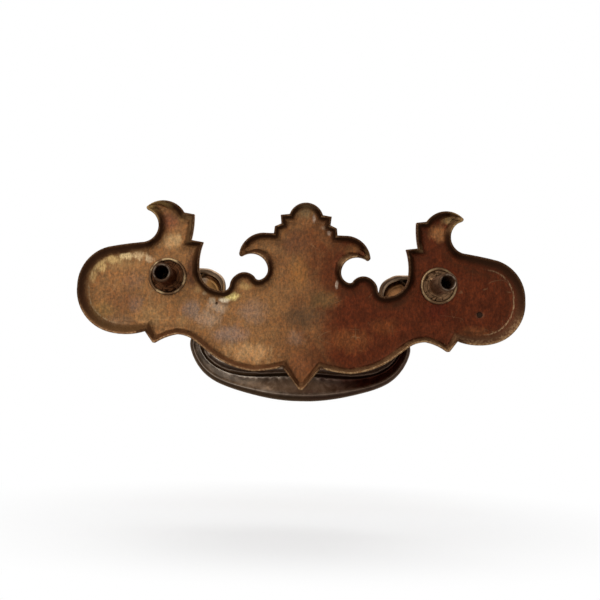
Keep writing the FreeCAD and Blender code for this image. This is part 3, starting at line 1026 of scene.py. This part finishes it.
    def paint_rim(self, material: Material, paint: Layers) -> None:
        """Paints the rim that bears on the drawer, lighter on its lower edges as painted light,
        with worn edges that are partly painted highlights.

        Args:
            material: The plate's material.
            paint: The layers of its colour.
        """
        graph, x, y = material.graph, material.x, material.y
        # The rim lighter on the lower edges and darker on the upper ones: painted light and shade.
        lower_edge = graph.step(material.foot_above, 0.1, 0.6)
        low = graph.mix(0.45, self.lit_wall(material), self.side_wall)
        rim = graph.mix(lower_edge, self.dark_wall, low)
        tips = graph.times(graph.step(graph.away(x), 39.0, 43.0),
                           graph.step(material.z, 14.0, 17.0))
        on_rim = graph.step(graph.ramp(material.mottle["Grit"], 0.1, y), *self.rim_span)
        paint.lay(graph.mix(tips, rim, self.tip_rim), on_rim, strength=0.85)
        # Worn edges, and the upper part of the lower walls on one wing: partly wear, partly
        # painted highlights that face the light.
        beads = graph.step(graph.noise(material.place, 1.5, 2.0), 0.42, 0.62)
        paint.lay(self.worn, graph.step(material.edge, 0.17, 0.02), beads,
                  graph.ramp(lower_edge, 0.7, 0.18), on_rim, strength=0.8)
        paint.lay(self.worn, lower_edge, graph.step(x, 0.0, -8.0), beads,
                  graph.step(y, -1.0, -0.4), strength=0.35)

    def paint_marks(self, material: Material, paint: Layers, behind: Socket) -> None:
        """Adds scratches on the floor and darkens the pits.

        Args:
            material: The plate's material.
            paint: The layers of its colour.
            behind: A mask of what faces the drawer.
        """
        graph, y = material.graph, material.y
        scratches = material.effects.scratches.place(graph, Position=material.place)
        paint.lay(self.worn, scratches["Mask"], graph.step(y, -1.2, -1.6), strength=0.2)
        in_pit = graph.step(y, self.floor_y - 0.15, self.floor_y - 0.45)
        paint.lay(self.pit, in_pit, behind, strength=0.9)

    def paint_face(self, material: Material, paint: Layers) -> None:
        """Paints the side that faces the room: rubbed brass, brighter along its edges.

        Args:
            material: The plate's material.
            paint: The layers of its colour.
        """
        graph = material.graph
        face = Layers(graph, self.face)
        face.shade(material.mottle["Clouds"], 0.75, 1.2)
        face.shade(material.mottle["Blots"], 0.8, 1.15)
        face.shade(material.grain["Fine"], 0.9, 1.1)
        face.lay(self.worn, graph.step(material.edge, 0.9, 0.0), strength=0.6)
        paint.lay(face.colour, graph.step(material.facing_y, -0.3, -0.7))


@dataclass(frozen=True)
class PostFinish:
    """The posts' brass: dark tube, rough staked ring, worn lip and tube end, rubbed head.

    The spans are of the distance from the post's axis, or of Y along it.
    """

    axis_x: float = 38.1
    near_span: Span = (-10.0, 10.0)
    lip_radii: Span = (4.25, 4.5)
    lip_span: Span = (-1.5, -1.0)
    tube_radii: Span = (2.78, 2.62)
    bore_radii: Span = (2.3, 2.0)
    end_span: Span = (8.7, 9.1)
    head_span: Span = (-2.7, -3.1)
    tube: Colour = (0.040, 0.010, 0.003)
    pale_tube: Colour = (0.145, 0.076, 0.042)
    ring: Colour = (0.038, 0.014, 0.005)
    pale_ring: Colour = (0.106, 0.058, 0.029)
    lip: Colour = (0.36, 0.25, 0.13)
    end: Colour = (0.050, 0.026, 0.014)
    worn: Colour = (0.21, 0.16, 0.12)
    head: Colour = (0.30, 0.185, 0.085)

    def build(self, effects: Effects) -> bpy.types.Material:
        """Builds the posts' material.

        Args:
            effects: The shared effect groups.

        Returns:
            The material.
        """
        material = Material("post_brass", effects)
        graph, place, y, z = material.graph, material.place, material.y, material.z
        across = graph.math("SUBTRACT", graph.away(material.x), self.axis_x)
        radius = graph.math("SQRT", graph.ramp(across, across, graph.times(z, z)))
        rough = graph.noise(place, 1.6, 4.0, 0.65)
        around = graph.add("ShaderNodeCombineXYZ", graph.times(radius, 3.2),
                           graph.times(graph.math("ARCTAN2", z, across), 1.6))
        tooled = graph.noise(around.outputs[0], 1.0, 3.0, 0.65)
        turned = graph.noise(graph.scaled(place, 0.15, 2.6, 0.15), 1.0, 3.0, 0.6)

        darker = graph.step(material.x, *self.near_span)
        paint = Layers(graph, graph.mix(darker, self.pale_ring, self.ring))
        paint.shade(graph.step(tooled, 0.36, 0.64), 0.45, 1.7)
        paint.shade(graph.step(rough, 0.35, 0.65), 0.75, 1.2)
        on_lip = graph.times(graph.step(radius, *self.lip_radii), graph.step(y, *self.lip_span))
        paint.lay(self.pale_ring, on_lip, strength=0.8)
        spared = graph.step(graph.noise(place, 0.22, 2.0), 0.44, 0.56)
        paint.lay(self.lip, on_lip, spared, graph.step(rough, 0.3, 0.55),
                  graph.ramp(darker, 0.45, 0.45))
        on_tube = graph.step(radius, *self.tube_radii)
        paint.lay(graph.mix(darker, self.pale_tube, self.tube), on_tube)
        paint.lay(self.pale_ring, on_tube, graph.step(turned, 0.5, 0.68), strength=0.2)
        at_end = graph.step(y, *self.end_span)
        paint.lay(self.end, at_end)
        rubbed = graph.step(graph.noise(place, 0.55, 2.0), 0.42, 0.56)
        paint.lay(self.worn, at_end, graph.step(radius, *self.bore_radii), rubbed, strength=0.8)

        head = Layers(graph, self.head)
        head.shade(material.mottle["Blots"], 0.65, 1.2)
        head.shade(graph.step(rough, 0.3, 0.7), 0.85, 1.1)
        paint.lay(head.colour, graph.step(y, *self.head_span))
        roughness = graph.ramp(material.mottle["Blots"], 0.15, 0.36)
        return material.finish(paint.colour, roughness, graph.ramp(rough, 0.6, turned), 0.03)


@dataclass(frozen=True)
class BailFinish:
    """The bail's brass: dark outside, grey-brown in its hollow, redder towards one side.

    Painted light and shade: a paler hollow and a highlight streak on one side, lit and shaded
    knuckles, highlights at the rim, shade near the edges, in the corners and under the plate.
    """

    tone_span: Span = (-16.0, 4.0)
    knuckle_span: Span = (-6.5, -2.5)
    face_span: Span = (-10.9, -12.2)
    grip_span: Span = (-24.0, -31.0)
    middle_below: float = 12.0
    rim_y: float = -8.425
    grey: Colour = (0.270, 0.205, 0.158)
    lit_grey: Colour = (0.700, 0.570, 0.450)
    purple: Colour = (0.055, 0.012, 0.006)
    flank: Colour = (0.026, 0.013, 0.006)
    red_flank: Colour = (0.018, 0.006, 0.004)
    knuckle: Colour = (0.560, 0.290, 0.100)
    shaded_knuckle: Colour = (0.190, 0.085, 0.032)
    knuckle_rim: Colour = (0.150, 0.100, 0.060)
    knuckle_flank: Colour = (0.055, 0.036, 0.020)
    ridge: Colour = (0.100, 0.070, 0.050)
    inner_flank: Colour = (0.026, 0.014, 0.010)
    highlight_streak: Colour = (0.950, 0.820, 0.680)
    face: Colour = (0.225, 0.130, 0.060)
    worn: Colour = (0.400, 0.260, 0.130)

    def build(self, effects: Effects) -> bpy.types.Material:
        """Builds the bail's material.

        Args:
            effects: The shared effect groups.

        Returns:
            The material.
        """
        material = Material("bail_patina", effects)
        graph, y, z, edge = material.graph, material.y, material.z, material.edge
        blots = material.mottle["Blots"]
        side = graph.stirred(material.x, material.mottle["Clouds"], 8.0)
        golden = graph.step(side, *self.tone_span)
        on_knuckle = graph.step(z, *self.knuckle_span)
        spread = graph.vector("MULTIPLY_ADD", material.place, (1.0, 0.0, 1.0),
                              (0.0, 0.0, self.middle_below))
        outward = graph.vector("DOT_PRODUCT", graph.vector("NORMALIZE", spread), material.facing)

        paint = Layers(graph, graph.mix(golden, self.red_flank, self.flank))
        paint.lay(self.knuckle_flank, on_knuckle, strength=0.8)
        inwards = graph.math("MAXIMUM", graph.step(outward, 0.12, -0.05), on_knuckle)
        hollow = graph.times(graph.step(material.facing_y, 0.3, 0.6), inwards)
        # The hollow paler towards one side: painted light.
        grey = graph.mix(graph.step(side, 6.0, 15.0), self.grey, self.lit_grey)
        # Lit and shaded copies of the knuckles' colour, one for each side.
        knuckle = graph.mix(golden, self.shaded_knuckle, self.knuckle)
        inside = graph.mix(on_knuckle, graph.mix(golden, self.purple, grey), knuckle)
        paint.lay(inside, hollow)
        off_knuckle = graph.math("SUBTRACT", 1.0, on_knuckle)
        # Painted shade in the hollow near its outer edges.
        paint.lay(self.ridge, graph.step(edge, 1.1, 0.1), hollow, off_knuckle, strength=0.7)
        # A painted highlight streak along the hollow's slope, on one side.
        paint.lay(self.highlight_streak, graph.step(edge, 0.6, 1.3), graph.step(edge, 2.9, 1.7),
                  graph.step(side, 4.0, 17.0), hollow, strength=0.55)
        # Painted shade on the inner flank that faces up under the plate.
        beyond = graph.times(graph.step(material.facing_z, -0.1, 0.3),
                             graph.step(material.foot_above, 0.25, 0.05))
        paint.lay(self.inner_flank, beyond, hollow, strength=0.95)
        near_rim = graph.step(y, self.rim_y - 0.5, self.rim_y - 0.1)
        paint.lay(self.knuckle_rim, near_rim, on_knuckle, strength=0.8)
        # A painted highlight along the edges near the rim.
        paint.lay(self.ridge, near_rim, graph.step(edge, 0.42, 0.1), strength=0.3)
        paint.shade(blots, 0.72, 1.2)
        # Painted shade in the inner corners.
        paint.shade(graph.step(material.foot, 0.9, 0.0), 1.0, 0.45)

        face = Layers(graph, self.face)
        face.shade(blots, 0.7, 1.2)
        face.lay(self.worn, graph.step(z, *self.grip_span), blots, strength=0.6)
        paint.lay(face.colour, graph.step(y, *self.face_span),
                  graph.step(material.facing_y, 0.1, -0.3))
        return material.finish(paint.colour, graph.ramp(blots, 0.15, 0.36), blots, 0.02)


class Pull:
    """The four pieces of the pull, each with the finish of its material slot."""

    def build(self, effects: Effects) -> list[bpy.types.Object]:
        """Builds the pieces.

        Args:
            effects: The shared effect groups.

        Returns:
            The pieces.
        """
        post_finish = PostFinish().build(effects)
        return [
            PlateSkin("backplate", "plate", "plate_brass").build(PlateFinish().build(effects)),
            PostSkin("post_left", "plate", "post_brass", side=-1).build(post_finish),
            PostSkin("post_right", "plate", "post_brass", side=1).build(post_finish),
            BailSkin("bail", "bail", "bail_brass").build(BailFinish().build(effects)),
        ]


@dataclass(frozen=True)
class PhotoCamera:
    """The camera of the photograph, behind the pull and a little below it."""

    place: Triple = (0.00747, 0.19300, -0.01936)
    aim: Triple = (0.000557, 0.0, -0.005434)
    roll: float = 1.821
    lens: float = 41.80
    shift: float = -0.00284
    clip_start: float = 10.0 * MM

    def build(self) -> None:
        """Makes the camera and sets it on the scene."""
        camera = bpy.data.cameras.new("photo_camera")
        camera.lens = self.lens
        camera.shift_x = self.shift
        camera.clip_start = self.clip_start
        bpy.context.scene.camera = add_object("photo_camera", camera)
        aim_object(bpy.context.scene.camera, self.place, self.aim, self.roll)


@dataclass(frozen=True)
class Lamp:
    """A square soft light that faces the pull."""

    name: str
    place: Triple
    size: float
    watts: float

    def build(self) -> None:
        """Makes the lamp."""
        light = bpy.data.lights.new(self.name, "AREA")
        light.size = self.size
        light.energy = self.watts
        aim_object(add_object(self.name, light), self.place, (0.0, 0.0, 0.0))


@dataclass(frozen=True)
class Studio:
    """A pale floor, a white surround and soft lamps at a plain level."""

    floor_z: float = -0.065
    floor_radius: float = 1.5
    floor_colour: Colour = (0.9, 0.9, 0.9)
    fade: Span = (0.018, 0.058)
    fade_stretch: Triple = (0.5, 1.0, 0.0)
    room_light: float = 0.60
    lamps: tuple[Lamp, ...] = (
        Lamp("key", (0.25, 0.38, 0.28), 0.30, 1.1),
        Lamp("front", (0.06, 0.55, -0.02), 0.50, 0.5),
        Lamp("low_gleam", (0.10, 0.36, -0.19), 0.10, 0.15),
        Lamp("room_side", (-0.1, -0.4, 0.3), 0.35, 1.3),
    )

    def build(self) -> None:
        """Makes the lamps, the world and the floor."""
        bpy.context.scene.view_settings.view_transform = "Standard"
        for lamp in self.lamps:
            lamp.build()
        self.build_world()
        self.build_floor()

    def seen(self, graph: Graph) -> Socket:
        """Finds what the eye sees, straight on, in metal or through glass.

        Args:
            graph: The world's or the floor's graph.

        Returns:
            A mask's socket.
        """
        path = graph.add("ShaderNodeLightPath").outputs
        straight = graph.math("MAXIMUM", path["Is Camera Ray"], path["Is Glossy Ray"])
        return graph.math("MAXIMUM", straight, path["Is Transmission Ray"])

    def build_world(self) -> None:
        """Lights the pull softly from all round, and shows white behind it."""
        world = bpy.data.worlds.new("studio")
        bpy.context.scene.world = world
        world.use_nodes = True
        graph = Graph(world.node_tree)
        background = world.node_tree.nodes["Background"].inputs
        strength = graph.add("ShaderNodeMapRange", self.seen(graph), 0.0, 1.0, self.room_light,
                             1.0)
        graph.feed(background["Color"], (1.0, 1.0, 1.0))
        graph.feed(background["Strength"], strength.outputs["Result"])

    def build_floor(self) -> None:
        """Makes a wide pale floor that fades to white away from the pull."""
        mesh = bpy.data.meshes.new("floor")
        disc = bmesh.new()
        bmesh.ops.create_circle(disc, cap_ends=True, segments=64, radius=self.floor_radius)
        bmesh.ops.translate(disc, verts=disc.verts, vec=(0.0, 0.0, self.floor_z))
        disc.to_mesh(mesh)
        disc.free()
        floor = add_object("floor", mesh)
        floor.visible_shadow = False
        material = empty_material("floor_white")
        graph = Graph(material.node_tree)
        place = graph.add("ShaderNodeTexCoord").outputs["Object"]
        reach = graph.vector("LENGTH", graph.scaled(place, *self.fade_stretch))
        white = graph.times(graph.step(reach, *self.fade), self.seen(graph))
        paint = graph.add("ShaderNodeBsdfDiffuse", self.floor_colour).outputs[0]
        glow = graph.add("ShaderNodeEmission").outputs[0]
        mixed = graph.add("ShaderNodeMixShader", white, paint, glow).outputs[0]
        graph.add("ShaderNodeOutputMaterial", mixed)
        mesh.materials.append(material)


def main() -> None:
    """Builds the camera, the studio and the pull in order, and reports each piece."""
    logging.basicConfig(level=logging.INFO, format="%(message)s")
    PhotoCamera().build()
    Studio().build()
    for piece in Pull().build(Effects()):
        LOG.info("%s has %d triangles", piece.name, len(piece.data.polygons))


if __name__ == "__main__":
    main()
